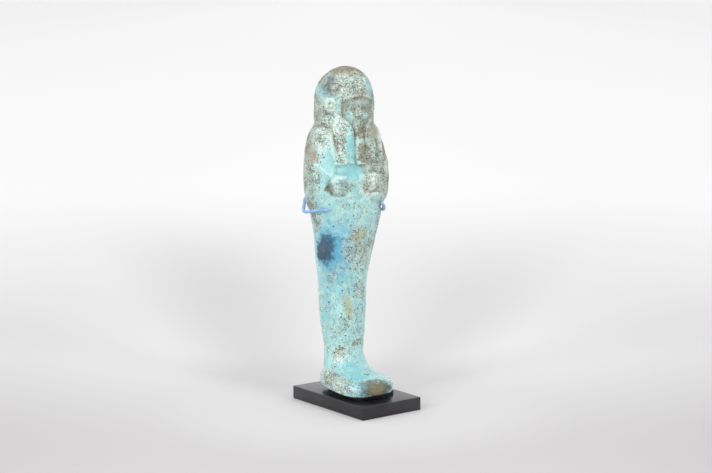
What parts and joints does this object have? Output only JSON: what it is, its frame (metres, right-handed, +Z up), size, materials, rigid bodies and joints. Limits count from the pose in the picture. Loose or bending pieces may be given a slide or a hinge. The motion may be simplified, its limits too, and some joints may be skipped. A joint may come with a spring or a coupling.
{
  "type": "ushabti figurine on a display stand",
  "caption": "Mummiform faience ushabti figurine standing on a small black plate and riser, held round the waist by a bent wire cradle.",
  "frame": {"origin": "centre of the base plate's underside", "axes": "+Z up along the figure, the figure faces -Y, +X is its left side"},
  "size_m": [0.043, 0.0536, 0.1554],
  "materials": {
    "faience": "soft gloss turquoise glaze, pitted and stained",
    "black_plate": "semi-gloss black",
    "blue_wire": "satin periwinkle blue paint"
  },
  "bodies": {
    "root": {"ushabti_figure": "faience", "base_plate": "black_plate", "riser_block": "black_plate", "wire_cradle": "blue_wire"}
  },
  "joints": []
}
